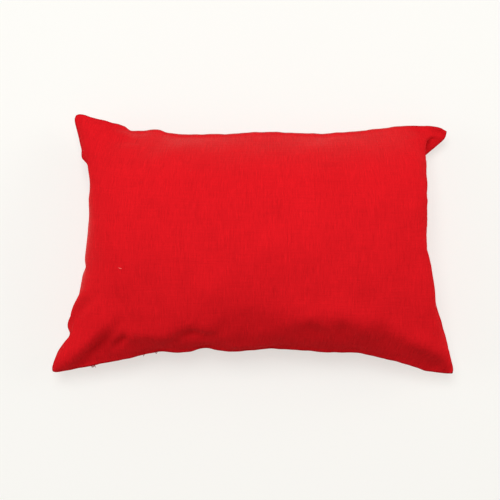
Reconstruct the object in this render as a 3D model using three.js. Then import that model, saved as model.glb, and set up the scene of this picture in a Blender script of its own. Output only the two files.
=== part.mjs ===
// A plump lumbar pillow in a plain slub-woven cloth, lying on its back on a table.
// The cover is two equal rectangles of cloth, sewn together round all four edges and turned right side out,
// so it has a plain knife edge and no piping. Stuffing lifts both panels into a crown and draws the sides in,
// and leaves the four corners as soft, nearly empty ears. Sizes are in millimetres, +Z is up, +X runs along
// the long side, and the origin is on the table, under the middle of the pillow.

import * as THREE from "three";

// The sewn cover, laid out flat before it is stuffed.
const COVER_LENGTH = 559;
const COVER_DEPTH = 356;

// Each panel is followed as a net of square-ish cells, fine enough to hold the puckers along the seam.
const CELLS_ALONG = 60;
const CELLS_DEEP = 38;

// Where the seam runs round the stuffed pillow, anticlockwise from above, corner to corner.
const SEAM_NEAR = [
  { x: -269, y: -170, z: 40 },
  { x: -219, y: -163, z: 46 },
  { x: -163, y: -152, z: 52 },
  { x: -128, y: -144, z: 57 },
  { x: -96, y: -145, z: 60 },
  { x: -63, y: -139, z: 62 },
  { x: -27, y: -144, z: 62 },
  { x: 27, y: -140, z: 62 },
  { x: 102, y: -145, z: 60 },
  { x: 141, y: -145, z: 58 },
  { x: 199, y: -159, z: 52 },
  { x: 230, y: -169, z: 46 },
  { x: 265, y: -175, z: 40 },
];
const SEAM_RIGHT = [
  { x: 269, y: -172, z: 40 },
  { x: 257, y: -117, z: 50 },
  { x: 247, y: -84, z: 56 },
  { x: 244, y: -46, z: 60 },
  { x: 235, y: -11, z: 62 },
  { x: 234, y: 13, z: 62 },
  { x: 234, y: 59, z: 60 },
  { x: 226, y: 95, z: 50 },
  { x: 228, y: 112, z: 42 },
  { x: 241, y: 125, z: 38 },
  { x: 257, y: 141, z: 38 },
];
const SEAM_FAR = [
  { x: 262, y: 153, z: 40 },
  { x: 208, y: 159, z: 50 },
  { x: 149, y: 153, z: 56 },
  { x: 81, y: 148, z: 60 },
  { x: 15, y: 151, z: 62 },
  { x: -71, y: 148, z: 62 },
  { x: -110, y: 149, z: 60 },
  { x: -147, y: 152, z: 58 },
  { x: -164, y: 153, z: 56 },
  { x: -188, y: 162, z: 52 },
  { x: -213, y: 169, z: 46 },
];
const SEAM_LEFT = [
  { x: -238, y: 174, z: 40 },
  { x: -229, y: 127, z: 46 },
  { x: -229, y: 115, z: 48 },
  { x: -219, y: 103, z: 52 },
  { x: -220, y: 49, z: 60 },
  { x: -222, y: 4, z: 62 },
  { x: -224, y: -30, z: 60 },
  { x: -235, y: -69, z: 56 },
  { x: -248, y: -107, z: 50 },
  { x: -246, y: -123, z: 48 },
  { x: -262, y: -147, z: 44 },
];

// The stuffing's push on the cloth and the weight it carries, in newtons, millimetres and kilograms.
const STUFFING_PRESSURE = 1.3e-4;
const PILLOW_MASS = 0.6;
const GRAVITY = 9810;

// How the cover settles.
const STEP_S = 1 / 600;
const SETTLE_STEPS = 600;
const PASSES = 12;
const DRAG = 0.985;
const SHEAR_GIVE = 0.35;
const SQUEEZE_GIVE = 0.04;
const STIFFNESS = 0.03;
const SEAM_HOLD = { across: 0.5, up: 0.03 };

// Cloth that ends up nearer to the table than this is pressed flat on it.
const PRESSED_FLAT = 1.5;

const columns = CELLS_ALONG + 1;
const rows = CELLS_DEEP + 1;
const panelPoints = columns * rows;
const onSeam = (i, j) => i === 0 || j === 0 || i === CELLS_ALONG || j === CELLS_DEEP;

// The two panels share their points along the seam.
function pointOf(panel, i, j) {
  if (panel === "front" || onSeam(i, j)) return j * columns + i;
  return panelPoints + (j - 1) * (columns - 2) + (i - 1);
}
const pointCount = panelPoints + (columns - 2) * (rows - 2);

// Points at even steps along one side of the seam, its start included and its end left to the next side.
function evenSteps(side, nextCorner, steps) {
  const run = [...side, nextCorner].map(({ x, y, z }) => new THREE.Vector3(x, y, z));
  return new THREE.CatmullRomCurve3(run).getSpacedPoints(steps).slice(0, steps);
}

// The seam's place for each net point on it.
function seamPlaces() {
  const near = evenSteps(SEAM_NEAR, SEAM_RIGHT[0], CELLS_ALONG);
  const right = evenSteps(SEAM_RIGHT, SEAM_FAR[0], CELLS_DEEP);
  const far = evenSteps(SEAM_FAR, SEAM_LEFT[0], CELLS_ALONG);
  const left = evenSteps(SEAM_LEFT, SEAM_NEAR[0], CELLS_DEEP);
  const places = new Map();
  near.forEach((p, k) => places.set(pointOf("front", k, 0), p));
  right.forEach((p, k) => places.set(pointOf("front", CELLS_ALONG, k), p));
  far.forEach((p, k) => places.set(pointOf("front", CELLS_ALONG - k, CELLS_DEEP), p));
  left.forEach((p, k) => places.set(pointOf("front", 0, CELLS_DEEP - k), p));
  return places;
}

// A first, rough cover: each panel spans the seam and is lifted a little off it.
function roughCover(seam) {
  const at = (i, j) => seam.get(pointOf("front", i, j));
  const points = Array.from({ length: pointCount }, () => new THREE.Vector3());
  for (const [panel, lift] of [["front", 70], ["back", -50]]) {
    for (let j = 0; j < rows; j++) {
      for (let i = 0; i < columns; i++) {
        const u = i / CELLS_ALONG;
        const v = j / CELLS_DEEP;
        const p = new THREE.Vector3()
          .addScaledVector(at(i, 0), 1 - v)
          .addScaledVector(at(i, CELLS_DEEP), v)
          .addScaledVector(at(0, j), 1 - u)
          .addScaledVector(at(CELLS_ALONG, j), u)
          .addScaledVector(at(0, 0), -(1 - u) * (1 - v))
          .addScaledVector(at(CELLS_ALONG, 0), -u * (1 - v))
          .addScaledVector(at(0, CELLS_DEEP), -(1 - u) * v)
          .addScaledVector(at(CELLS_ALONG, CELLS_DEEP), -u * v);
        p.z += lift * Math.sqrt(16 * u * (1 - u) * v * (1 - v));
        points[pointOf(panel, i, j)].copy(p);
      }
    }
  }
  return points;
}

// The threads that hold the net, along and across the weave and on the bias.
// Along the seam they take the seam's own length, because the stitching gathers the cloth a little.
function clothLinks(seam) {
  const wide = COVER_LENGTH / CELLS_ALONG;
  const deep = COVER_DEPTH / CELLS_DEEP;
  const kinds = [
    { di: 1, dj: 0, stretch: 1, squeeze: SQUEEZE_GIVE },
    { di: 0, dj: 1, stretch: 1, squeeze: SQUEEZE_GIVE },
    { di: 1, dj: 1, stretch: SHEAR_GIVE, squeeze: SHEAR_GIVE * SQUEEZE_GIVE },
    { di: 1, dj: -1, stretch: SHEAR_GIVE, squeeze: SHEAR_GIVE * SQUEEZE_GIVE },
  ];
  const links = [];
  for (const panel of ["front", "back"]) {
    for (const { di, dj, stretch, squeeze } of kinds) {
      for (let j = 0; j < rows; j++) {
        for (let i = 0; i < columns; i++) {
          const [ei, ej] = [i + di, j + dj];
          if (ei >= columns || ej < 0 || ej >= rows) continue;
          const [a, b] = [pointOf(panel, i, j), pointOf(panel, ei, ej)];
          const sewn = seam.has(a) && seam.has(b) && di + Math.abs(dj) === 1;
          const length = sewn ? seam.get(a).distanceTo(seam.get(b)) : Math.hypot(di * wide, dj * deep);
          links.push({ a: 3 * a, b: 3 * b, length, stretch, squeeze });
        }
      }
    }
  }
  return links;
}

// Runs of three points in a row, which the cloth's stiffness keeps nearly straight.
function clothRuns() {
  const runs = [];
  for (const panel of ["front", "back"]) {
    for (let j = 0; j < rows; j++) {
      for (let i = 0; i < columns; i++) {
        const alongFits = i + 2 < columns;
        const deepFits = j + 2 < rows;
        if (alongFits) runs.push([0, 1, 2].map((step) => 3 * pointOf(panel, i + step, j)));
        if (deepFits) runs.push([0, 1, 2].map((step) => 3 * pointOf(panel, i, j + step)));
      }
    }
  }
  return runs;
}

// Two triangles for each cell, facing out.
function clothFaces() {
  const faces = [];
  for (const panel of ["front", "back"]) {
    for (let j = 0; j < CELLS_DEEP; j++) {
      for (let i = 0; i < CELLS_ALONG; i++) {
        const a = pointOf(panel, i, j);
        const b = pointOf(panel, i + 1, j);
        const c = pointOf(panel, i + 1, j + 1);
        const d = pointOf(panel, i, j + 1);
        // The diagonal leads towards the nearest corner's own diagonal, so each ear folds alike.
        const rising = (i < CELLS_ALONG / 2) === (j < CELLS_DEEP / 2);
        const pair = rising ? [[a, b, c], [a, c, d]] : [[a, b, d], [b, c, d]];
        for (const [p, q, r] of pair) faces.push(panel === "front" ? [p, q, r] : [p, r, q]);
      }
    }
  }
  return faces;
}

// Pushes every face of the cover outwards, and shares the push between its three points.
function pushOut(at, push, faces) {
  push.fill(0);
  for (const [a, b, c] of faces) {
    const ux = at[b] - at[a];
    const uy = at[b + 1] - at[a + 1];
    const uz = at[b + 2] - at[a + 2];
    const vx = at[c] - at[a];
    const vy = at[c + 1] - at[a + 1];
    const vz = at[c + 2] - at[a + 2];
    const share = STUFFING_PRESSURE / 6;
    const px = share * (uy * vz - uz * vy);
    const py = share * (uz * vx - ux * vz);
    const pz = share * (ux * vy - uy * vx);
    for (const k of [a, b, c]) {
      push[k] += px;
      push[k + 1] += py;
      push[k + 2] += pz;
    }
  }
}

// Stuffs the cover and lets it settle on the table, with its seam held near its place.
function settle(points, links, runs, faces, seam) {
  const at = Float64Array.from(points.flatMap((p) => p.toArray()));
  const before = new Float64Array(at.length);
  const speed = new Float64Array(at.length);
  const push = new Float64Array(at.length);
  const corners = faces.map((face) => face.map((k) => 3 * k));
  const places = [...seam].map(([k, place]) => [3 * k, place]);
  const quickening = (1000 * points.length) / PILLOW_MASS;
  for (let step = 0; step < SETTLE_STEPS; step++) {
    pushOut(at, push, corners);
    before.set(at);
    for (let k = 0; k < at.length; k++) {
      const fall = k % 3 === 2 ? GRAVITY : 0;
      speed[k] = DRAG * speed[k] + STEP_S * (quickening * push[k] - fall);
      at[k] += STEP_S * speed[k];
    }
    for (let pass = 0; pass < PASSES; pass++) {
      for (const { a, b, length, stretch, squeeze } of links) {
        const x = at[b] - at[a];
        const y = at[b + 1] - at[a + 1];
        const z = at[b + 2] - at[a + 2];
        const now = Math.sqrt(x * x + y * y + z * z);
        const share = ((now > length ? stretch : squeeze) * (now - length)) / (2 * now);
        at[a] += share * x;
        at[a + 1] += share * y;
        at[a + 2] += share * z;
        at[b] -= share * x;
        at[b + 1] -= share * y;
        at[b + 2] -= share * z;
      }
      for (const [a, middle, b] of runs) {
        for (let axis = 0; axis < 3; axis++) {
          const bow = (at[a + axis] + at[b + axis]) / 2 - at[middle + axis];
          at[middle + axis] += STIFFNESS * bow;
          at[a + axis] -= (STIFFNESS / 2) * bow;
          at[b + axis] -= (STIFFNESS / 2) * bow;
        }
      }
      for (const [k, place] of places) {
        at[k] += SEAM_HOLD.across * (place.x - at[k]);
        at[k + 1] += SEAM_HOLD.across * (place.y - at[k + 1]);
        at[k + 2] += SEAM_HOLD.up * (place.z - at[k + 2]);
      }
      for (let k = 2; k < at.length; k += 3) at[k] = Math.max(at[k], 0);
    }
    for (let k = 0; k < at.length; k++) speed[k] = (at[k] - before[k]) / STEP_S;
  }
  points.forEach((p, k) => {
    p.fromArray(at, 3 * k);
    if (p.z < PRESSED_FLAT) p.z = 0;
  });
}

function pillowGeometry() {
  const seam = seamPlaces();
  const points = roughCover(seam);
  const faces = clothFaces();
  settle(points, clothLinks(seam), clothRuns(), faces, seam);
  const geometry = new THREE.BufferGeometry().setFromPoints(points).setIndex(faces.flat());
  geometry.computeBoundingBox();
  const middle = geometry.boundingBox.getCenter(new THREE.Vector3());
  return geometry.translate(-middle.x, -middle.y, 0);
}

const cloth = new THREE.MeshStandardMaterial({ color: 0xdc1c22, roughness: 0.85, metalness: 0 });
const pillow = new THREE.Mesh(pillowGeometry(), cloth);
pillow.name = "pillow";

const lumbarPillow = new THREE.Group();
lumbarPillow.add(pillow);

export default lumbarPillow;
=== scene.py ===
import math

import bpy
import numpy as np
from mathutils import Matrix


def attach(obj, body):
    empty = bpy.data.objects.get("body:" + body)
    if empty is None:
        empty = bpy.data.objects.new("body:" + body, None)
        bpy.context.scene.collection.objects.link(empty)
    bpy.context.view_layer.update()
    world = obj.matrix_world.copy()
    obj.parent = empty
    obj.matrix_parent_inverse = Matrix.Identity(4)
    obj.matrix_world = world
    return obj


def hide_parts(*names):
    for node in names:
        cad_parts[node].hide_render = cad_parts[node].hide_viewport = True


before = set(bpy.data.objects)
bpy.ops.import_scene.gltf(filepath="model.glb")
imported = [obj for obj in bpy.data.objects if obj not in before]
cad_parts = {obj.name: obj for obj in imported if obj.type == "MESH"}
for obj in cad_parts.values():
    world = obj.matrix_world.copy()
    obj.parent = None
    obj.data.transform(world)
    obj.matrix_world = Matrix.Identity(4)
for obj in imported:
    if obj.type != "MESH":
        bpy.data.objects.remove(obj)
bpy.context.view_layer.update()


# The cover, cut out and sewn.
# Two equal rectangles of red slub-woven cloth, sewn together round all four edges and turned right
# side out, so that the edge is a plain knife edge. The stuffing draws the seam in to the run below.
COVER_LENGTH = 0.559
COVER_DEPTH = 0.356
CURVE_STEPS = 16  # between two points of a run that is smoothed

# The seam goes round anticlockwise. Each side ends where the next one starts.
SEAM_NEAR = (
    # x, y, z from the near left corner, in metres
    (-0.2715, -0.1725, 0.040),
    (-0.266, -0.1732, 0.041),
    (-0.233, -0.1670, 0.045),
    (-0.200, -0.1602, 0.048),
    (-0.163, -0.1525, 0.052),
    (-0.128, -0.1440, 0.057),
    (-0.103, -0.1450, 0.060),
    (-0.085, -0.1435, 0.061),
    (-0.063, -0.1388, 0.062),
    (-0.027, -0.1434, 0.062),
    (0.027, -0.1395, 0.062),
    (0.102, -0.1445, 0.060),
    (0.141, -0.1452, 0.058),
    (0.162, -0.1502, 0.055),
    (0.188, -0.1560, 0.052),
    (0.221, -0.1660, 0.048),
    (0.2386, -0.1718, 0.044),
    (0.261, -0.1747, 0.041),
)
SEAM_RIGHT = (
    # x, y, z from the near right corner; the side turns in to the corner that is folded back
    (0.2715, -0.1755, 0.040),
    (0.2722, -0.168, 0.040),
    (0.2662, -0.1485, 0.045),
    (0.2576, -0.115, 0.050),
    (0.2476, -0.085, 0.054),
    (0.2436, -0.0615, 0.056),
    (0.240, -0.036, 0.057),
    (0.231, -0.014, 0.056),
    (0.220, 0.006, 0.054),
    (0.215, 0.035, 0.050),
    (0.211, 0.068, 0.042),
    (0.211, 0.092, 0.032),
    (0.2237, 0.1113, 0.024),
    (0.2418, 0.1265, 0.023),
    (0.2604, 0.1424, 0.026),
    (0.2645, 0.148, 0.028),
)
SEAM_FAR = (
    # x, y, z from the far right corner
    (0.2655, 0.1548, 0.030),
    (0.252, 0.1594, 0.036),
    (0.2055, 0.1595, 0.048),
    (0.149, 0.1525, 0.056),
    (0.105, 0.1487, 0.059),
    (0.081, 0.1480, 0.060),
    (0.015, 0.1500, 0.062),
    (-0.027, 0.1475, 0.062),
    (-0.071, 0.1468, 0.062),
    (-0.098, 0.1470, 0.061),
    (-0.114, 0.1495, 0.060),
    (-0.127, 0.1535, 0.059),
    (-0.145, 0.1522, 0.058),
    (-0.164, 0.1525, 0.056),
    (-0.1715, 0.1580, 0.055),
    (-0.187, 0.1628, 0.052),
    (-0.200, 0.1672, 0.050),
    (-0.2108, 0.1690, 0.048),
    (-0.233, 0.1765, 0.042),
)
SEAM_LEFT = (
    # x, y, z from the far left corner
    (-0.2395, 0.175, 0.040),
    (-0.2415, 0.1685, 0.040),
    (-0.2365, 0.150, 0.041),
    (-0.2318, 0.130, 0.043),
    (-0.2308, 0.1175, 0.044),
    (-0.220, 0.1075, 0.047),
    (-0.207, 0.092, 0.052),
    (-0.200, 0.060, 0.057),
    (-0.2008, 0.004, 0.059),
    (-0.209, -0.030, 0.058),
    (-0.228, -0.069, 0.054),
    (-0.2488, -0.104, 0.048),
    (-0.2464, -0.1215, 0.046),
    (-0.2560, -0.1342, 0.044),
    (-0.2645, -0.1478, 0.042),
    (-0.2714, -0.166, 0.040),
)


def smooth_run(points, steps):
    """Points at even steps along a smooth curve through the given ones, both ends included."""
    p = np.array(points)
    p = np.vstack([2 * p[0] - p[1], p, 2 * p[-1] - p[-2]])
    fine = []
    for a, b, c, d in zip(p, p[1:], p[2:], p[3:]):
        t = np.linspace(0, 1, CURVE_STEPS, endpoint=False)[:, None]
        bend = (2 * a - 5 * b + 4 * c - d) * t**2 + (3 * b - a - 3 * c + d) * t**3
        fine.append(b + ((c - a) * t + bend) / 2)
    fine = np.vstack([*fine, p[-2]])
    gone = np.concatenate([[0], np.cumsum(np.linalg.norm(np.diff(fine, axis=0), axis=1))])
    wanted = np.linspace(0, gone[-1], steps + 1)
    return np.stack([np.interp(wanted, gone, fine[:, axis]) for axis in range(3)], 1)


def seam_rim(along, deep):
    """The seam's four sides on a net of that many cells, each running along +X or +Y."""
    near = smooth_run((*SEAM_NEAR, SEAM_RIGHT[0]), along)
    right = smooth_run((*SEAM_RIGHT, SEAM_FAR[0]), deep)
    far = smooth_run((*SEAM_FAR, SEAM_LEFT[0]), along)[::-1]
    left = smooth_run((*SEAM_LEFT, SEAM_NEAR[0]), deep)[::-1]
    return near, right, far, left


def spanned(along, deep):
    """A sheet that spans the seam: where each net point would lie with no stuffing at all."""
    near, right, far, left = seam_rim(along, deep)
    u = np.linspace(0, 1, along + 1)[None, :, None]
    v = np.linspace(0, 1, deep + 1)[:, None, None]
    sheet = (1 - v) * near + v * far + (1 - u) * left[:, None] + u * right[:, None]
    near_corners = (1 - u) * (1 - v) * near[0] + u * (1 - v) * near[-1]
    return sheet - (near_corners + (1 - u) * v * far[0] + u * v * far[-1])


# The stuffing.
# Loose fibre that fills the cover's body and hardly reaches its seam and corners. It pushes both
# panels out until the woven cloth stops them, and the pillow settles on the floor by its weight.
STUFFING_PRESSURE = 130.0  # pascals
PILLOW_MASS = 0.6  # kilograms
GRAVITY = 9.81
SEAM_REACH = 0.055  # how far in from the seam the stuffing is loose
SEAM_SHARE = 0.25  # of the pressure, right at the seam
SHOULDER_IN = 0.066  # where the stuffing is firmest, behind the near seam
SHOULDER_SPREAD = 0.020
SHOULDER_SHARE = 1.6
CROWN_LIFT = 0.070  # how far the two panels are parted before they settle
BACK_DROP = 0.050
NEAR_EASE = 0.055  # how much longer than the seam the near edge's cloth is, and how far in
NEAR_EASE_REACH = 0.11
SIDE_EASE = 0.05
SIDE_EASE_REACH = 0.10
SQUEEZE = 0.04  # how firmly a thread resists being pushed together, against being pulled
BIAS = 0.35  # how firmly the cloth resists a pull on the bias, against one along its threads
STIFFNESS = 0.02
SEAM_GRIP = np.array([0.5, 0.5, 0.04])  # how firmly the seam keeps its run, in x, y and z
SEAM_OPENING = 0.0070  # widest gap between the panels, one net point in from the seam
SETTLING = (
    # cells along, cells deep, steps, passes a step, seconds a step, speed kept a step
    (30, 19, 260, 10, 1 / 400, 0.985),
    (60, 38, 100, 14, 1 / 1000, 0.95),
    (120, 76, 60, 14, 1 / 2000, 0.90),
)
CELL_CORNERS = (np.s_[:, :-1, :-1], np.s_[:, :-1, 1:], np.s_[:, 1:, 1:], np.s_[:, 1:, :-1])


def ease(t):
    """Goes smoothly from 0 to 1 as t does."""
    t = np.clip(t, 0, 1)
    return t * t * (3 - 2 * t)


def cut_pattern(rows, columns):
    """The flat place of every net point on the cut cloth, with the ease given to its edges."""
    x, y = np.meshgrid(np.linspace(0, COVER_LENGTH, columns), np.linspace(0, COVER_DEPTH, rows))
    longer = NEAR_EASE * (1 - ease(y / NEAR_EASE_REACH))
    deeper = SIDE_EASE * (1 - ease(np.minimum(x, COVER_LENGTH - x) / SIDE_EASE_REACH))
    eased = (x + (x - COVER_LENGTH / 2) * longer, y + (y - COVER_DEPTH / 2) * deeper)
    return np.stack(eased, -1)


def stuffing_share(along, deep):
    """How firmly the stuffing pushes on each cell: fully in the body, and little at the seam."""
    x = (np.arange(along) + 0.5) / along * COVER_LENGTH
    y = (np.arange(deep) + 0.5) / deep * COVER_DEPTH
    from_ends = ease(np.minimum(x, COVER_LENGTH - x) / SEAM_REACH)[None, :]
    from_sides = ease(np.minimum(y, COVER_DEPTH - y) / SEAM_REACH)[:, None]
    shoulder = SHOULDER_SHARE * np.exp(-(((y - SHOULDER_IN) / SHOULDER_SPREAD) ** 2))[:, None]
    return SEAM_SHARE + (1 - SEAM_SHARE) * from_ends * from_sides * (1 + shoulder)


def threads(net):
    """Whether each set of threads is on the bias, and its ends. No two in a set share a point."""
    for odd in (0, 1):
        yield False, net[:, :, odd:-1:2], net[:, :, odd + 1 :: 2]
        yield False, net[:, odd:-1:2], net[:, odd + 1 :: 2]
        yield True, net[:, :-1, odd:-1:2], net[:, 1:, odd + 1 :: 2]
        yield True, net[:, 1:, odd:-1:2], net[:, :-1, odd + 1 :: 2]


def ring_of(rows, columns, ring):
    """A mask of the net points that lie that many points in from the seam."""
    inside = np.zeros((rows, columns), bool)
    inside[ring : rows - ring, ring : columns - ring] = True
    inside[ring + 1 : rows - ring - 1, ring + 1 : columns - ring - 1] = False
    return inside


def settle(panels, rim, steps, passes, step_s, kept):
    """Lets the stuffed cover settle. panels is [panel, row, column, xyz], the front panel first."""
    _, rows, columns, _ = panels.shape
    seam, beside_seam = ring_of(rows, columns, 0), ring_of(rows, columns, 1)
    finest = columns == SETTLING[-1][0] + 1
    share = stuffing_share(columns - 1, rows - 1)[None, :, :, None]
    quicken = 2 * rows * columns / PILLOW_MASS
    flat = np.broadcast_to(cut_pattern(rows, columns), (2, rows, columns, 2))
    cut = [
        (np.hypot(*np.moveaxis(q - p, -1, 0)), BIAS if on_bias else 1.0)
        for on_bias, p, q in threads(flat)
    ]
    speed = np.zeros_like(panels)
    for _ in range(steps):
        a, b, c, d = (panels[corner] for corner in CELL_CORNERS)
        # a cell's area is half its diagonals' cross product, and four corners share its push
        push = np.cross(c - a, d - b) * share * STUFFING_PRESSURE / 8
        push[1] *= -1
        force = np.zeros_like(panels)
        for corner in CELL_CORNERS:
            force[corner] += push
        force[:, seam] = force[:, seam].sum(0) / 2
        speed = kept * speed + step_s * quicken * force
        speed[..., 2] -= step_s * GRAVITY
        before = panels
        panels = panels + step_s * speed
        for _ in range(passes):
            for (length, pull), (_, p, q) in zip(cut, threads(panels)):
                gap = q - p
                now = np.sqrt((gap * gap).sum(-1))
                firmness = np.where(now > length, pull, pull * SQUEEZE)
                gap *= (firmness * (now - length) / (2 * now))[..., None]
                p += gap
                q -= gap
            for a, b, c in (
                (panels[:, :-2], panels[:, 1:-1], panels[:, 2:]),
                (panels[:, :, :-2], panels[:, :, 1:-1], panels[:, :, 2:]),
            ):
                bow = STIFFNESS * ((a + c) / 2 - b)
                b += bow * 2 / 3
                a -= bow / 3
                c -= bow / 3
            if finest:
                gap = panels[0, beside_seam] - panels[1, beside_seam]
                now = np.sqrt((gap * gap).sum(-1, keepdims=True))
                gap *= np.maximum(0, 1 - SEAM_OPENING / np.maximum(now, 1e-9)) / 4
                panels[0, beside_seam] -= gap
                panels[1, beside_seam] += gap
            held = panels[:, seam].mean(0)
            panels[:, seam] = held + SEAM_GRIP * (rim[seam] - held)
            np.maximum(panels[..., 2], 0, out=panels[..., 2])
        speed = (panels - before) / step_s
    return panels


def halfway(net, axis):
    """The net with a point put smoothly between each two along one axis."""
    a = np.moveaxis(net, axis, 0)
    ends = np.concatenate([2 * a[:1] - a[1:2], a, 2 * a[-1:] - a[-2:-1]])
    between = (9 * (a[:-1] + a[1:]) - ends[:-3] - ends[3:]) / 16
    finer = np.empty((2 * len(a) - 1, *a.shape[1:]))
    finer[::2], finer[1::2] = a, between
    return np.moveaxis(finer, 0, axis)


along, deep = SETTLING[0][:2]
u = np.linspace(0, 1, along + 1)[None, :]
v = np.linspace(0, 1, deep + 1)[:, None]
dome = 4 * np.sqrt(u * (1 - u) * v * (1 - v))
panels = np.stack([spanned(along, deep)] * 2)
panels[0, ..., 2] += CROWN_LIFT * dome
panels[1, ..., 2] -= BACK_DROP * dome
for along, deep, steps, passes, step_s, kept in SETTLING:
    if panels.shape[2] < along + 1:
        panels = halfway(halfway(panels, 1), 2)
    panels = settle(panels, spanned(along, deep), steps, passes, step_s, kept)


# The settled cover.
# Both panels are now one sewn cover. Blender's cloth lets its weave take up the last slack over a
# table, while the seam and its allowances, which are stitched together, hardly move.
CLOTH_FRAMES = 10
CLOTH_QUALITY = 8
CLOTH_PRESSURE = 5.0
THREAD_PULL = 80.0
THREAD_PUSH = 40.0
BIAS_PULL = 8.0
CLOTH_STIFFNESS = 0.4
AIR_DAMPING = 3
CLOTH_GAP = 0.001
TABLE_GRIP = 20
STITCHED = (
    # net points in from the seam, how firmly they are held
    (0, 1.0),
    (1, 0.9),
    (2, 0.6),
)
LIFTED = 0.008  # how far the underside comes off the table, and the height where that fades out
LIFT_ENDS = 0.022


def laid_out(name, places, faces):
    """A new piece of the scene, made of these points and faces."""
    mesh = bpy.data.meshes.new(name)
    mesh.from_pydata(places, [], faces)
    piece = bpy.data.objects.new(name, mesh)
    bpy.context.scene.collection.objects.link(piece)
    return piece


def flat_sheet(name, reach):
    """A square sheet at z = 0 that reaches that far from the middle to each side."""
    corners = [(-reach, -reach, 0), (reach, -reach, 0), (reach, reach, 0), (-reach, reach, 0)]
    return laid_out(name, corners, [(0, 1, 2, 3)])


def net_numbers(rows, columns):
    """Point numbers of both panels, [panel, row, column], with the seam's points shared."""
    front = np.arange(rows * columns).reshape(rows, columns)
    back = front.copy()
    inner = np.arange((rows - 2) * (columns - 2)).reshape(rows - 2, columns - 2)
    back[1:-1, 1:-1] = rows * columns + inner
    return np.stack([front, back])


def net_cells(numbers):
    """The cells between numbered net points, all facing outwards, the front panel's first."""
    found = []
    for panel, order in zip(numbers, (1, -1)):
        corners = (panel[:-1, :-1], panel[:-1, 1:], panel[1:, 1:], panel[1:, :-1])
        found.append(np.stack(corners[::order], -1).reshape(-1, 4))
    return np.concatenate(found)


def cloth_settled(panels):
    """The panels as Blender's cloth leaves them, with the underside back on the floor."""
    _, rows, columns, _ = panels.shape
    numbers = net_numbers(rows, columns)
    places = np.zeros((numbers.max() + 1, 3))
    places[numbers] = panels
    cut = np.zeros_like(places)
    cut[numbers, :2] = cut_pattern(rows, columns)

    cover = laid_out("settling_cover", places.tolist(), net_cells(numbers).tolist())
    cover.shape_key_add(name="stuffed")
    flat = cover.shape_key_add(name="cut")
    flat.data.foreach_set("co", cut.ravel())
    flat.value = 0
    stitched = cover.vertex_groups.new(name="stitched")
    for ring, firmness in STITCHED:
        points = numbers[:, ring_of(rows, columns, ring)]
        stitched.add(np.unique(points).tolist(), firmness, "REPLACE")

    table = flat_sheet("settling_table", 1)
    table.modifiers.new("table", "COLLISION")
    table.collision.thickness_outer = CLOTH_GAP
    table.collision.cloth_friction = TABLE_GRIP

    cloth = cover.modifiers.new("cloth", "CLOTH")
    cloth.settings.vertex_group_mass = stitched.name
    cloth.settings.rest_shape_key = flat
    cloth.settings.quality = CLOTH_QUALITY
    cloth.settings.tension_stiffness = THREAD_PULL
    cloth.settings.compression_stiffness = THREAD_PUSH
    cloth.settings.shear_stiffness = BIAS_PULL
    cloth.settings.bending_stiffness = CLOTH_STIFFNESS
    cloth.settings.air_damping = AIR_DAMPING
    cloth.settings.use_pressure = True
    cloth.settings.uniform_pressure_force = CLOTH_PRESSURE
    cloth.settings.effector_weights.gravity = 0
    cloth.collision_settings.use_collision = True
    cloth.collision_settings.distance_min = CLOTH_GAP
    cloth.point_cache.frame_start = 1
    cloth.point_cache.frame_end = CLOTH_FRAMES
    for moment in range(1, CLOTH_FRAMES + 1):
        bpy.context.scene.frame_set(moment)
    settled = cover.evaluated_get(bpy.context.evaluated_depsgraph_get()).to_mesh()
    places = np.zeros(places.size)
    settled.vertices.foreach_get("co", places)
    for helper in (cover, table):
        helper_mesh = helper.data
        bpy.data.objects.remove(helper)
        bpy.data.meshes.remove(helper_mesh)
    bpy.context.scene.frame_set(1)

    panels = places.reshape(-1, 3)[numbers]
    height = panels[1, ..., 2]
    height -= LIFTED * (1 - ease((height - LIFTED) / (LIFT_ENDS - LIFTED)))
    return panels


panels = cloth_settled(panels)
panels = halfway(halfway(panels, 1), 2)
panels[:, [0, -1]] = panels[:, [0, -1]].mean(0)
panels[:, :, [0, -1]] = panels[:, :, [0, -1]].mean(0)
np.maximum(panels[..., 2], 0, out=panels[..., 2])


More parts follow.
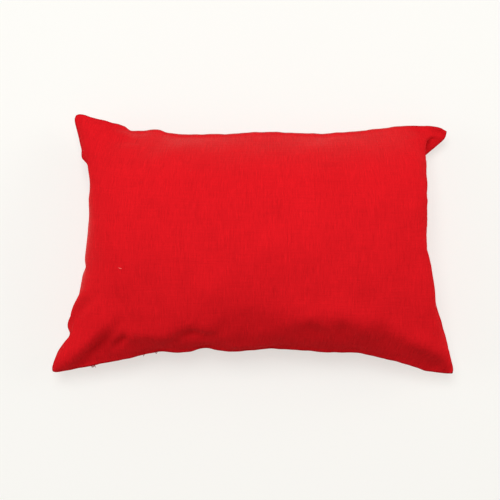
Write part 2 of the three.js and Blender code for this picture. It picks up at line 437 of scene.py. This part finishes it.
# The folds.
# Creases that the drawn-in seam and the empty corners leave in the cloth. Each is a run on the
# finished panel, measured from its near left corner, that stands proud of it or sinks into it.
MM = 0.001
FRONT_FOLDS = (
    # half width, then along, up and height for each station of the run, in mm
    # near left corner: the ridge to the ear, and the troughs and ridges beside it
    (13, (0, 0, 1.5), (17, 15, 6), (37, 32, 9.5), (58, 52, 8.5), (79, 74, 5.5), (94, 90, 2.5),
     (106, 100, 0)),
    (13, (36, 4, 0), (56, 19, -4.5), (72, 36, -6), (84, 51, -3), (94, 63, 0)),
    (8, (80, 22, 0), (88, 36, 2.5), (95, 50, 3.5), (104, 64, 1.5), (110, 72, 0)),
    (8, (88, 20, 0), (98, 37, -4), (106, 46, -4), (116, 49, 0)),
    (8, (106, 34, 0), (114, 47, 2), (120, 60, 1.5), (125, 72, 0)),
    (9, (132, 34, 0), (141, 46, -1.5), (150, 58, 0)),
    (8, (4, 70, 0), (18, 86, 5), (40, 106, 4.5), (60, 120, 0)),
    (9, (28, 78, 0), (48, 95, -3.5), (66, 110, -2.5), (84, 122, 0)),
    (8, (0, 51, -7), (12, 56, -5), (30, 62, 0)),
    # near side: a crease that leans in from the seam, a long roll, and soft puckers across it
    (16, (100, 66, 0), (118, 58, 3), (136, 54, 5), (154, 54, 6), (168, 58, 5.5), (182, 68, 3),
     (198, 80, 0)),
    (20, (190, 80, 0), (205, 80, 1), (225, 82, -0.5), (250, 80, -2), (272, 76, -2.5),
     (300, 78, -0.5), (322, 78, 4), (350, 82, 6), (366, 80, 6), (392, 84, 6.5), (420, 78, 6.5),
     (450, 68, 6), (480, 56, 7), (510, 44, 0)),
    (12, (166, 26, 0), (180, 40, -3), (192, 48, -5.5), (208, 48, -5.5), (225, 46, -3),
     (242, 44, 0)),
    (14, (438, 20, 0), (460, 22, 1.5), (482, 26, 2), (502, 28, 2), (518, 28, 1), (530, 28, 0)),
    (14, (236, 14, 0), (256, 18, 3), (280, 18, 3), (300, 18, 2), (318, 16, 0)),
    (9, (192, 72, 0), (200, 56, -2.0), (204, 40, 0)),
    (9, (214, 80, 0), (214, 60, 1.2), (214, 40, 0)),
    (10, (238, 82, 0), (236, 62, -1.8), (234, 42, 0)),
    (10, (272, 78, 0), (272, 56, -1.2), (270, 36, 0)),
    (10, (300, 76, 0), (298, 56, 1.2), (296, 36, 0)),
    (12, (346, 84, 0), (354, 68, -2.6), (364, 54, -2.2), (374, 44, 0)),
    (9, (366, 80, 0), (374, 62, 1.4), (380, 44, 0)),
    (10, (392, 84, 0), (396, 66, -2.4), (396, 46, 0)),
    (9, (418, 80, 0), (420, 60, 1.4), (420, 44, 0)),
    (11, (438, 84, 0), (446, 62, -2.4), (456, 40, 0)),
    # near right corner
    (13, (478, 58, 0), (498, 50, 6.5), (516, 42, 8.5), (532, 33, 8), (546, 22, 4.5), (557, 9, 1)),
    (8, (522, 16, 0), (534, 13, -1.5), (548, 9, 0)),
    # right side
    (5, (490, 186, 0), (503, 171, 2.2), (517, 155, 2.2), (530, 138, 0)),
    # the body bulges out over the ear that is tucked under at the far right corner
    (22, (532, 22, 0), (522, 56, 4), (514, 90, 5.5), (506, 130, 7), (502, 180, 7), (502, 230, 7),
     (500, 280, 5), (498, 320, 0)),
    (26, (520, 118, 0), (522, 140, -1), (522, 155, -3), (522, 168, -2.5), (521, 178, -1),
     (520, 192, 1), (519, 204, 5), (518, 218, 10.5), (517, 236, 12), (517, 252, 8.5),
     (518, 272, 7.5), (518, 292, 5.5), (519, 308, 1.5), (519, 335, 0)),
    (8, (516, 272, 0), (518, 298, 2.5), (519, 318, 0)),
    (12, (543, 270, 0), (539, 292, -20), (539, 312, -28), (539, 330, -22), (540, 346, -6)),
    # far left corner and far side
    (12, (16, 294, 0), (28, 286, -4), (33, 274, -3.8), (36, 262, -4.5), (40, 250, -4),
     (42, 236, -1.5), (41, 216, -1.2), (41, 200, 0)),
    (7, (2, 284, 0), (14, 282, -2), (28, 280, 0)),
    (7, (20, 150, 0), (34, 147, -3), (48, 143, 0)),
    (9, (20, 352, 0), (50, 340, 1.8), (78, 336, 2.2), (92, 338, 0)),
    (9, (60, 322, 0), (92, 324, -1.6), (120, 330, 0)),
)
BACK_FOLDS = (
    # half width, then along, up and height for each station of the run, in mm
    # each of three corners: a ridge to its tip and a trough on one side of it
    (11, (6, 6, 2), (30, 30, 5), (60, 56, 4), (88, 76, 0)),
    (9, (40, 12, 0), (66, 34, -4), (88, 56, -2.5), (104, 72, 0)),
    (11, (553, 6, 2), (528, 30, 5), (500, 54, 4), (474, 74, 0)),
    (9, (520, 12, 0), (495, 34, -4), (474, 54, -2.5), (458, 70, 0)),
    (11, (6, 350, 2), (30, 326, 4.5), (58, 302, 3), (84, 282, 0)),
    (9, (40, 344, 0), (66, 322, -3.5), (90, 300, -2), (106, 286, 0)),
    # sides
    (8, (0, 51, -6), (12, 56, -4.5), (30, 62, 0)),
    (7, (0, 289, -6), (12, 285, -4.5), (30, 280, 0)),
    (10, (170, 8, 0), (178, 30, 2.5), (192, 56, 2.5), (210, 80, 0)),
    (10, (330, 6, 0), (338, 26, -2.5), (344, 52, -2), (352, 74, 0)),
    (10, (410, 348, 0), (404, 326, 2.5), (392, 300, 2), (380, 280, 0)),
    (10, (230, 350, 0), (238, 328, -2.5), (246, 304, -2), (252, 284, 0)),
)
FOLD_STEPS = 120
FOLD_FADE = 0.006
BODY_STROKE = (514, 230, 20, 60)  # along, up and reach in mm, then how often, before the folds
FOLD_STROKE = (510, 222, 10, 12)  # the same, once the folds are laid
PUCKERS = (
    # ripple's length, how far it moves the seam, how far it lifts the cloth there, in mm; start
    (46, 0.22, 0.0, 0.6),
    (29, 0.18, 0.20, 2.1),
    (17, 0.10, 0.25, 4.4),
    (12, 0.0, 0.20, 1.3),
)
PUCKER_REACH = 0.010  # how far in from the seam they go, and where they fade out
PUCKER_FADE = 0.004
PUCKER_CORNERS = 0.03
SIDE_SHIFT = 1.9  # radians by which each side's ripples start later, and each panel's lifts lag
FRONT_LAG = 1
BACK_LAG = 3
BACK_SPREAD = 0.9
LUMPS = (
    # turns for each metre along and up the panel, height in mm, start
    (13, 5, 0.35, 0.4),
    (7, -14, 0.35, 2.6),
    (19, 11, 0.22, 4.9),
    (-16, 21, 0.18, 1.7),
)
LUMP_FADE = 0.06

rows, columns = panels.shape[1:3]
along_cut, deep_cut = np.meshgrid(
    np.linspace(0, COVER_LENGTH, columns), np.linspace(0, COVER_DEPTH, rows)
)
from_seam = np.minimum(
    np.minimum(along_cut, COVER_LENGTH - along_cut), np.minimum(deep_cut, COVER_DEPTH - deep_cut)
)


def panel_normals(panel, facing):
    """Which way out each point of a panel is: facing is 1 for the front and -1 for the back."""
    normals = np.cross(np.gradient(panel, axis=1), np.gradient(panel, axis=0)) * facing
    return normals / np.linalg.norm(normals, axis=-1, keepdims=True)


def stroked(panel, along, deep, reach, times):
    """The panel with one place stroked smooth, as a hand passing over it would."""
    away = (along_cut - along * MM) ** 2 + (deep_cut - deep * MM) ** 2
    share = np.exp(-away / (reach * MM) ** 2)[..., None]
    for _ in range(times):
        smooth = panel.copy()
        beside = panel[:-2, 1:-1] + panel[2:, 1:-1] + panel[1:-1, :-2] + panel[1:-1, 2:]
        smooth[1:-1, 1:-1] = beside / 4
        panel = panel + (smooth - panel) * share
    return panel


def folded(panel, facing, folds):
    """The panel with its folds, which fade out just before the seam."""
    rise = np.zeros(panel.shape[:2])
    for half_width, *stations in folds:
        run = smooth_run(stations, FOLD_STEPS) * MM
        away = np.hypot(along_cut[..., None] - run[:, 0], deep_cut[..., None] - run[:, 1])
        across = np.exp(-((away.min(-1) / (half_width * MM)) ** 2))
        rise += run[away.argmin(-1), 2] * across
    rise *= ease(from_seam / FOLD_FADE)
    return panel + panel_normals(panel, facing) * rise[..., None]


def lumpy(panel, facing):
    """The panel with the faint unevenness of loose stuffing under it."""
    rise = sum(
        height * MM * np.sin(math.tau * (turns_x * along_cut + turns_y * deep_cut) + start)
        for turns_x, turns_y, height, start in LUMPS
    )
    rise *= ease(from_seam / LUMP_FADE)
    return panel + panel_normals(panel, facing) * rise[..., None]


def puckered(panels):
    """The panels with the seam's ripples: it wanders, and the cloth beside it rises and falls."""
    outward, lift = np.zeros(panels.shape[1:]), np.zeros(panels.shape[:3])
    shift = 0.0
    for run, size, gone, way in (
        (along_cut, COVER_LENGTH, deep_cut, (0, -1, 0)),
        (deep_cut, COVER_DEPTH, COVER_LENGTH - along_cut, (1, 0, 0)),
        (along_cut, COVER_LENGTH, COVER_DEPTH - deep_cut, (0, 1, 0)),
        (deep_cut, COVER_DEPTH, along_cut, (-1, 0, 0)),
    ):
        from_corner = np.minimum(run, size - run)
        reached = np.exp(-gone / PUCKER_REACH) * ease(from_corner / PUCKER_CORNERS)
        for length, sway, rise, start in PUCKERS:
            wave = math.tau * run / (length * MM) + start + shift
            outward += np.array(way) * (sway * MM * reached * np.sin(wave))[..., None]
            lift[0] += rise * MM * reached * np.sin(wave + FRONT_LAG)
            lift[1] += rise * MM * reached * np.sin(wave * BACK_SPREAD + BACK_LAG)
        shift += SIDE_SHIFT
    lift *= ease(from_seam / PUCKER_FADE)
    normals = np.stack([panel_normals(panels[0], 1), panel_normals(panels[1], -1)])
    return panels + outward + normals * lift[..., None]


panels[0] = folded(stroked(panels[0], *BODY_STROKE), 1, FRONT_FOLDS)
panels[0] = lumpy(stroked(panels[0], *FOLD_STROKE), 1)
panels[1] = lumpy(folded(panels[1], -1, BACK_FOLDS), -1)
panels = puckered(panels)
np.maximum(panels[..., 2], 0, out=panels[..., 2])


# The pillow.
# The folded panels are joined all round. The seam is turned right side out, so each panel rolls
# over along the edge, down into the stitch line that lies between them.
EDGE_ROLL = 0.0007
STITCH_DEPTH = 0.0009
BACK_CUT = (1, 1)  # where the back panel is cut, so that its yarns aren't the front's


def rim_of(panel):
    """The panel's edge as one closed run, anticlockwise from the near left corner."""
    return np.concatenate([panel[0, :-1], panel[:-1, -1], panel[-1, :0:-1], panel[:0:-1, 0]])


def lay_cut_map(mesh, marks):
    """Gives each point of a mesh its place on the cut cloth, in metres, which the yarns follow."""
    corners = np.zeros(len(mesh.loops), int)
    mesh.loops.foreach_get("vertex_index", corners)
    mesh.uv_layers.new(name="cut_cloth").data.foreach_set("uv", marks[corners].ravel())


stitch_line = rim_of(panels[0]).copy()
inwards = stitch_line.mean(0) - stitch_line
inwards[:, 2] = 0
stitch_line += STITCH_DEPTH * inwards / np.linalg.norm(inwards, axis=1, keepdims=True)
at_seam = ring_of(rows, columns, 0)
for side, facing in enumerate((1, -1)):
    panels[side][at_seam] += EDGE_ROLL * panel_normals(panels[side], facing)[at_seam]

numbers = np.arange(2 * rows * columns).reshape(2, rows, columns)
stitches = numbers.size + np.arange(len(stitch_line))
edges = (rim_of(numbers[0]), stitches, rim_of(numbers[1]))
cells = [net_cells(numbers)]
for upper, lower in zip(edges, edges[1:]):
    cells.append(np.stack([upper, lower, np.roll(lower, -1), np.roll(upper, -1)], -1))
places = np.concatenate([panels.reshape(-1, 3), stitch_line])
cut_places = np.stack([along_cut, deep_cut], -1)
front_marks = cut_places.reshape(-1, 2)
marks = np.concatenate([front_marks, front_marks + BACK_CUT, rim_of(cut_places)])

pillow = laid_out("pillow_cover", places.tolist(), np.concatenate(cells).tolist())
pillow.data.shade_smooth()
lay_cut_map(pillow.data, marks)


# The cloth.
# Cotton slub in plain weave. Its yarns swell and thin, which shows as short streaks along the warp.
# A painted sheen on the far and left shoulders stands in for the pale rim that grazing light gives
# there.
CLOTH_RED = (0.66, 0.0085, 0.0137)
WARP = (0.0022, 0.034)  # width and length of the swellings
FINE_WARP = (0.0012, 0.014)
WEFT = (0.0020, 0.040)
PATCHES = (0.012, 0.022)  # where the warp's streaks gather
CLOUDS = (0.045, 0.060)
YARN_RANGE = (0.3, 0.7)  # where nearly all values of the streaks lie
PATCH_RANGE = (0.35, 0.62)
PATCH_LEAST = 0.35
WARP_SHADE = 0.05  # how far each lightens and darkens the cloth
FINE_WARP_SHADE = 0.09
WEFT_SHADE = 0.025
CLOUD_SHADE = 0.03
THIN_ROUGHNESS = 0.86  # where a yarn is thin, and where it is thick
THICK_ROUGHNESS = 0.74
WEAVE_PITCH = 0.0009
WEAVE_RELIEF = 0.10  # how much each counts in the relief
WARP_RELIEF = 1.4
FINE_WARP_RELIEF = 0.7
WEFT_RELIEF = 1.0
# painted sheen: a pale sheen put only where light grazes the far and left shoulders, and none on
# the shaded near side
PAINTED_SHEEN_PATCHES = (
    # most painted sheen, then for each fade its axis on the cloth, where it starts and where it is
    # full
    (0.26, ("Y", 0.26, 0.33), ("X", 0.06, 0.12), ("X", 0.51, 0.47)),
    (0.27, ("X", 0.095, 0.045), ("Y", 0.08, 0.17), ("Y", 0.28, 0.20)),
)


def yarn_streaks_group():
    """Streaks of uneven yarn, from places on the cloth: 0.5 is plain, more is thicker."""
    group = bpy.data.node_groups.new("yarn_streaks", "ShaderNodeTree")
    for name, kind in (
        ("Cloth", "NodeSocketVector"),
        ("Yarn Width", "NodeSocketFloat"),
        ("Streak Length", "NodeSocketFloat"),
        ("Turned", "NodeSocketFloat"),
    ):
        group.interface.new_socket(name, in_out="INPUT", socket_type=kind)
    group.interface.new_socket("Streaks", in_out="OUTPUT", socket_type="NodeSocketFloat")
    put, join = group.nodes.new, group.links.new
    inlet, outlet = put("NodeGroupInput"), put("NodeGroupOutput")
    turned = put("ShaderNodeVectorRotate")
    turned.rotation_type = "Z_AXIS"
    join(inlet.outputs["Cloth"], turned.inputs["Vector"])
    join(inlet.outputs["Turned"], turned.inputs["Angle"])
    grain = put("ShaderNodeCombineXYZ")
    join(inlet.outputs["Yarn Width"], grain.inputs["X"])
    join(inlet.outputs["Streak Length"], grain.inputs["Y"])
    grain.inputs["Z"].default_value = 1
    stretched = put("ShaderNodeVectorMath")
    stretched.operation = "DIVIDE"
    join(turned.outputs["Vector"], stretched.inputs[0])
    join(grain.outputs["Vector"], stretched.inputs[1])
    noise = put("ShaderNodeTexNoise")
    noise.noise_dimensions = "2D"
    noise.inputs["Scale"].default_value = 1
    noise.inputs["Detail"].default_value = 2
    noise.inputs["Roughness"].default_value = 0.6
    join(stretched.outputs["Vector"], noise.inputs["Vector"])
    join(noise.outputs["Fac"], outlet.inputs["Streaks"])
    return group


yarn_streaks = yarn_streaks_group()


def streaks(tree, cloth, width, length, turned=0.0):
    """The swellings of yarns of that width, in streaks of that length."""
    node = tree.nodes.new("ShaderNodeGroup")
    node.node_tree = yarn_streaks
    tree.links.new(cloth, node.inputs["Cloth"])
    node.inputs["Yarn Width"].default_value = width
    node.inputs["Streak Length"].default_value = length
    node.inputs["Turned"].default_value = turned
    return node.outputs["Streaks"]


def worked(tree, operation, *values):
    """A sum or product of numbers that change over the surface."""
    node = tree.nodes.new("ShaderNodeMath")
    node.operation = operation
    for socket, value in zip(node.inputs, values):
        if isinstance(value, (int, float)):
            socket.default_value = value
        else:
            tree.links.new(value, socket)
    return node.outputs["Value"]


def remapped(tree, value, low, high, to_low, to_high):
    """A value taken from one range to another, and held inside it."""
    node = tree.nodes.new("ShaderNodeMapRange")
    tree.links.new(value, node.inputs["Value"])
    node.inputs["From Min"].default_value = low
    node.inputs["From Max"].default_value = high
    node.inputs["To Min"].default_value = to_low
    node.inputs["To Max"].default_value = to_high
    return node.outputs["Result"]


def dyed(tree, colour, shade):
    """A colour made lighter and darker by a shade that changes over the surface."""
    tint = tree.nodes.new("ShaderNodeVectorMath")
    tint.operation = "SCALE"
    tint.inputs[0].default_value = colour
    tree.links.new(shade, tint.inputs["Scale"])
    return tint.outputs["Vector"]


def raised(tree, relief, strength, distance):
    """Normals of a relief too fine to be in the mesh."""
    bump = tree.nodes.new("ShaderNodeBump")
    bump.inputs["Strength"].default_value = strength
    bump.inputs["Distance"].default_value = distance
    tree.links.new(relief, bump.inputs["Height"])
    return bump.outputs["Normal"]


def painted_sheen_patch(tree, cut, most, fades):
    """Painted sheen on one shoulder, standing in for light that grazes it, going down to none where
    any of its fades starts.
    """
    (axis, start, full), *others = fades
    patch = remapped(tree, cut.outputs[axis], start, full, 0, most)
    for axis, start, full in others:
        fade = remapped(tree, cut.outputs[axis], start, full, 0, 1)
        patch = worked(tree, "MULTIPLY", patch, fade)
    return patch


def slub_cloth():
    """The red slub of the cover."""
    material = bpy.data.materials.new("slub_cloth")
    material.use_nodes = True
    tree = material.node_tree
    shader = tree.nodes["Principled BSDF"]
    uv_map = tree.nodes.new("ShaderNodeUVMap")
    uv_map.uv_map = "cut_cloth"
    cloth = uv_map.outputs["UV"]
    cut = tree.nodes.new("ShaderNodeSeparateXYZ")
    tree.links.new(cloth, cut.inputs["Vector"])
    warp = streaks(tree, cloth, *WARP)
    fine_warp = streaks(tree, cloth, *FINE_WARP)
    weft = streaks(tree, cloth, *WEFT, math.pi / 2)
    patches = streaks(tree, cloth, *PATCHES)
    clouds = streaks(tree, cloth, *CLOUDS)

    shades = [
        remapped(tree, yarns, *YARN_RANGE, -swing, swing)
        for yarns, swing in (
            (warp, WARP_SHADE),
            (fine_warp, FINE_WARP_SHADE),
            (weft, WEFT_SHADE),
            (clouds, CLOUD_SHADE),
        )
    ]
    gathered = remapped(tree, patches, *PATCH_RANGE, PATCH_LEAST, 1.0)
    shade = worked(tree, "MULTIPLY_ADD", worked(tree, "ADD", *shades[:2]), gathered, 1.0)
    shade = worked(tree, "ADD", shade, shades[2])
    shade = worked(tree, "ADD", shade, shades[3])
    tree.links.new(dyed(tree, CLOTH_RED, shade), shader.inputs["Base Color"])
    roughness = remapped(tree, warp, *YARN_RANGE, THIN_ROUGHNESS, THICK_ROUGHNESS)
    tree.links.new(roughness, shader.inputs["Roughness"])
    shader.inputs["Specular IOR Level"].default_value = 0.01

    turns = math.tau / WEAVE_PITCH
    over = worked(tree, "SINE", worked(tree, "MULTIPLY", cut.outputs["X"], turns))
    under = worked(tree, "SINE", worked(tree, "MULTIPLY", cut.outputs["Y"], turns))
    relief = worked(tree, "MULTIPLY", worked(tree, "MULTIPLY", over, under), WEAVE_RELIEF)
    for yarns, height in ((warp, WARP_RELIEF), (fine_warp, FINE_WARP_RELIEF), (weft, WEFT_RELIEF)):
        relief = worked(tree, "MULTIPLY_ADD", yarns, height, relief)
    normals = raised(tree, relief, strength=0.6, distance=0.0006)
    tree.links.new(normals, shader.inputs["Normal"])

    # painted sheen: Sheen Weight raised only on the far and left shoulders, where the light grazes
    # the cloth
    painted_sheens = [painted_sheen_patch(tree, cut, most, fades) for most, *fades in PAINTED_SHEEN_PATCHES]
    tree.links.new(worked(tree, "ADD", *painted_sheens), shader.inputs["Sheen Weight"])
    shader.inputs["Sheen Roughness"].default_value = 0.45
    shader.inputs["Sheen Tint"].default_value = (1.0, 0.50, 0.46, 1)
    return material


pillow.data.materials.append(slub_cloth())
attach(pillow, "root")
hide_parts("pillow")


# The loose thread ends.
# Tails of red sewing thread, a few millimetres long, left where the near seam's stitching was cut,
# and one lump of paler yarn that was woven into the front panel. Each is caught in the cloth.
THREAD_WIDTH = 0.0010
THREAD_RED = (0.28, 0.004, 0.007)
THREAD_TWIST = 0.5
THREAD_ENDS = (
    # place along the near seam from the left corner; how far the tail goes along, out and down, mm
    (56.0, 2.6, 1.5, 0.9),
    (58.0, -1.6, 2.4, 1.2),
    (59.5, 1.0, 2.6, 1.0),
    (61.0, -2.2, 1.6, 0.8),
    (130.0, -1.0, 1.8, 0.6),
    (146.0, 1.6, 1.4, 0.8),
    (149.0, -1.2, 1.9, 1.0),
)
TAIL_CAUGHT = (2.0, 0.4)  # how far in and up each tail starts inside the seam, in mm
TAIL_SWAY = 0.3  # how far to each side it curves, against its way along
TAIL_RISE = 0.3  # mm, over the edge
TAIL_THINNED = 0.7
TAIL_STEPS = 14
TUBE_SIDES = 8
NO_STRAND = (0.3, 0.2, 1.0)  # a direction that no strand takes
LUMP_AT = (0.104, 0.148)
LUMP_LENGTH = 0.0052
LUMP_WIDTH = 0.0007
LUMP_BOW = 0.0011
LUMP_PROUD = 0.0002
LUMP_DIP = 0.0005  # how far its ends go down into the cloth
LUMP_STEPS = 12
LUMP_BLUNT = 1.02  # its ends are nearly points
LUMP_COLOUR = (0.90, 0.24, 0.22)
LUMP_TWIST = 0.3
PLIES = (0.0002, 0.0016)  # width and length of the twisted plies that show
PLY_SHADE = (0.8, 1.15)


def yarn_tube(run, widths):
    """Points, faces and cloth places of a round strand along a run, closed at both ends."""
    steps = np.gradient(run, axis=0)
    steps /= np.linalg.norm(steps, axis=1, keepdims=True)
    side = np.cross(steps, NO_STRAND)
    side /= np.linalg.norm(side, axis=1, keepdims=True)
    up = np.cross(side, steps)
    angle = np.linspace(0, math.tau, TUBE_SIDES, endpoint=False)
    ring = np.cos(angle)[:, None] * side[:, None] + np.sin(angle)[:, None] * up[:, None]
    points = run[:, None] + ring * widths[:, None, None] / 2
    number = np.arange(len(run) * TUBE_SIDES).reshape(len(run), TUBE_SIDES)
    beside = np.roll(number, -1, axis=1)
    faces = np.stack([number[:-1], beside[:-1], beside[1:], number[1:]], -1)
    faces = faces.reshape(-1, 4).tolist() + [number[0, ::-1].tolist(), number[-1].tolist()]
    gone = np.concatenate([[0], np.cumsum(np.linalg.norm(np.diff(run, axis=0), axis=1))])
    marks = np.stack(np.broadcast_arrays(angle * THREAD_WIDTH / 2, gone[:, None]), -1)
    return points.reshape(-1, 3), faces, marks.reshape(-1, 2)


def spun_yarn(name, colour, twist):
    """A yarn of twisted plies, a little uneven in colour."""
    material = bpy.data.materials.new(name)
    material.use_nodes = True
    tree = material.node_tree
    shader = tree.nodes["Principled BSDF"]
    uv_map = tree.nodes.new("ShaderNodeUVMap")
    uv_map.uv_map = "cut_cloth"
    plies = streaks(tree, uv_map.outputs["UV"], *PLIES, twist)
    shade = remapped(tree, plies, *YARN_RANGE, *PLY_SHADE)
    tree.links.new(dyed(tree, colour, shade), shader.inputs["Base Color"])
    normals = raised(tree, plies, strength=0.5, distance=0.0001)
    tree.links.new(normals, shader.inputs["Normal"])
    shader.inputs["Roughness"].default_value = 0.8
    shader.inputs["Specular IOR Level"].default_value = 0.05
    return material


def yarn_piece(name, tubes, material):
    """One piece made of strands of the same yarn."""
    places, faces, marks = [], [], []
    for tube_points, tube_faces, tube_marks in tubes:
        faces += [[len(places) + corner for corner in face] for face in tube_faces]
        places += tube_points.tolist()
        marks += tube_marks.tolist()
    piece = laid_out(name, places, faces)
    piece.data.shade_smooth()
    lay_cut_map(piece.data, np.array(marks))
    piece.data.materials.append(material)
    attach(piece, "root")


tails = []
for place, along_seam, out, down in THREAD_ENDS:
    start = panels[0][0, round(place * MM / COVER_LENGTH * (columns - 1))]
    inside = start + np.array((-TAIL_SWAY * along_seam, *TAIL_CAUGHT)) * MM
    edge = start + (0, 0, TAIL_RISE * MM)
    bend = start + np.array((TAIL_SWAY * along_seam, -out / 2, TAIL_RISE)) * MM
    tip = start + np.array((along_seam, -out, -down)) * MM
    run = smooth_run((inside, edge, bend, tip), TAIL_STEPS)
    tails.append(yarn_tube(run, THREAD_WIDTH * np.linspace(1.0, TAIL_THINNED, TAIL_STEPS + 1)))
yarn_piece("thread_ends", tails, spun_yarn("sewing_thread", THREAD_RED, THREAD_TWIST))

row = round(LUMP_AT[1] / COVER_DEPTH * (rows - 1))
column = round(LUMP_AT[0] / COVER_LENGTH * (columns - 1))
on_cloth = panels[0][row, column] + LUMP_PROUD * panel_normals(panels[0], 1)[row, column]
middle_out = np.linspace(-1, 1, LUMP_STEPS + 1)
bow = LUMP_BOW * middle_out**2 * (middle_out < 0)
dip = -LUMP_DIP * middle_out**2
run = on_cloth + np.stack([0.5 * LUMP_LENGTH * middle_out, bow, dip], 1)
lump = yarn_tube(run, LUMP_WIDTH * np.sqrt(LUMP_BLUNT - middle_out**2))
yarn_piece("yarn_lump", [lump], spun_yarn("pale_yarn", LUMP_COLOUR, LUMP_TWIST))


# The floor.
# A pale, plain sheet that the pillow lies on. To the camera it shines a little by itself, as a
# studio sheet that is lit up to white does.
FLOOR_REACH = 3
FLOOR_DROP = 0.0003
FLOOR_COLOUR = (0.91, 0.895, 0.87, 1)
GLOW_COLOUR = (0.97, 0.97, 0.94, 1)
GLOW_SHARE = 0.62

floor = flat_sheet("floor", FLOOR_REACH)
floor.location.z = -FLOOR_DROP
pale_floor = bpy.data.materials.new("pale_floor")
pale_floor.use_nodes = True
nodes, join = pale_floor.node_tree.nodes, pale_floor.node_tree.links.new
shader = nodes["Principled BSDF"]
shader.inputs["Base Color"].default_value = FLOOR_COLOUR
shader.inputs["Roughness"].default_value = 0.9
shader.inputs["Specular IOR Level"].default_value = 0.1
glow = nodes.new("ShaderNodeEmission")
glow.inputs["Color"].default_value = GLOW_COLOUR
seen = nodes.new("ShaderNodeLightPath")
share = nodes.new("ShaderNodeMath")
share.operation = "MULTIPLY"
share.inputs[1].default_value = GLOW_SHARE
join(seen.outputs["Is Camera Ray"], share.inputs[0])
lit = nodes.new("ShaderNodeMixShader")
join(share.outputs["Value"], lit.inputs["Fac"])
join(shader.outputs["BSDF"], lit.inputs[1])
join(glow.outputs["Emission"], lit.inputs[2])
join(lit.outputs["Shader"], nodes["Material Output"].inputs["Surface"])
floor.data.materials.append(pale_floor)


# The lights.
# Plain, soft studio light: a pale warm surround, a cool key light high over the far side, and a
# warm softbox at each side that lifts the shoulders.
SURROUND = (1.0, 0.905, 0.80, 1)
SURROUND_STRENGTH = 0.32
WARM = (1.0, 0.97, 0.93)
SOFTBOXES = (
    # name, direction from the pillow, how far away, width, watts, colour
    ("key_light", (-0.10, 0.34, 1.0), 2.4, 1.0, 34.0, (0.93, 0.985, 1.0)),
    ("far_light", (0.0, 1.0, 0.5), 2.6, 1.6, 2, WARM),
    ("left_light", (-1.0, 0.05, 0.5), 2.6, 1.6, 16, WARM),
    ("right_light", (1.0, 0.35, 0.6), 2.6, 1.6, 21, WARM),
)

world = bpy.data.worlds.new("studio")
bpy.context.scene.world = world
world.use_nodes = True
world.node_tree.nodes["Background"].inputs["Color"].default_value = SURROUND
world.node_tree.nodes["Background"].inputs["Strength"].default_value = SURROUND_STRENGTH
for name, direction, distance, width, watts, colour in SOFTBOXES:
    light = bpy.data.lights.new(name, "AREA")
    light.shape = "SQUARE"
    light.size = width
    light.energy = watts
    light.color = colour
    softbox = bpy.data.objects.new(name, light)
    away = np.array(direction) / np.linalg.norm(direction)
    softbox.location = away * distance
    softbox.rotation_euler = (math.acos(away[2]), 0, math.atan2(away[1], away[0]) + math.pi / 2)
    bpy.context.scene.collection.objects.link(softbox)


# The camera.
# It looks straight down on the pillow's face, as in the photograph, with the pillow's near side at
# the foot of the picture.
CAMERA_AT = (-0.0034, -0.0077, 1.5)
CAMERA_SENSOR = 36
CAMERA_LENS = 77.35

camera = bpy.data.cameras.new("camera")
camera.sensor_width = CAMERA_SENSOR
camera.lens = CAMERA_LENS
viewpoint = bpy.data.objects.new("camera", camera)
viewpoint.location = CAMERA_AT
bpy.context.scene.collection.objects.link(viewpoint)
bpy.context.scene.camera = viewpoint
bpy.context.scene.view_settings.view_transform = "Standard"
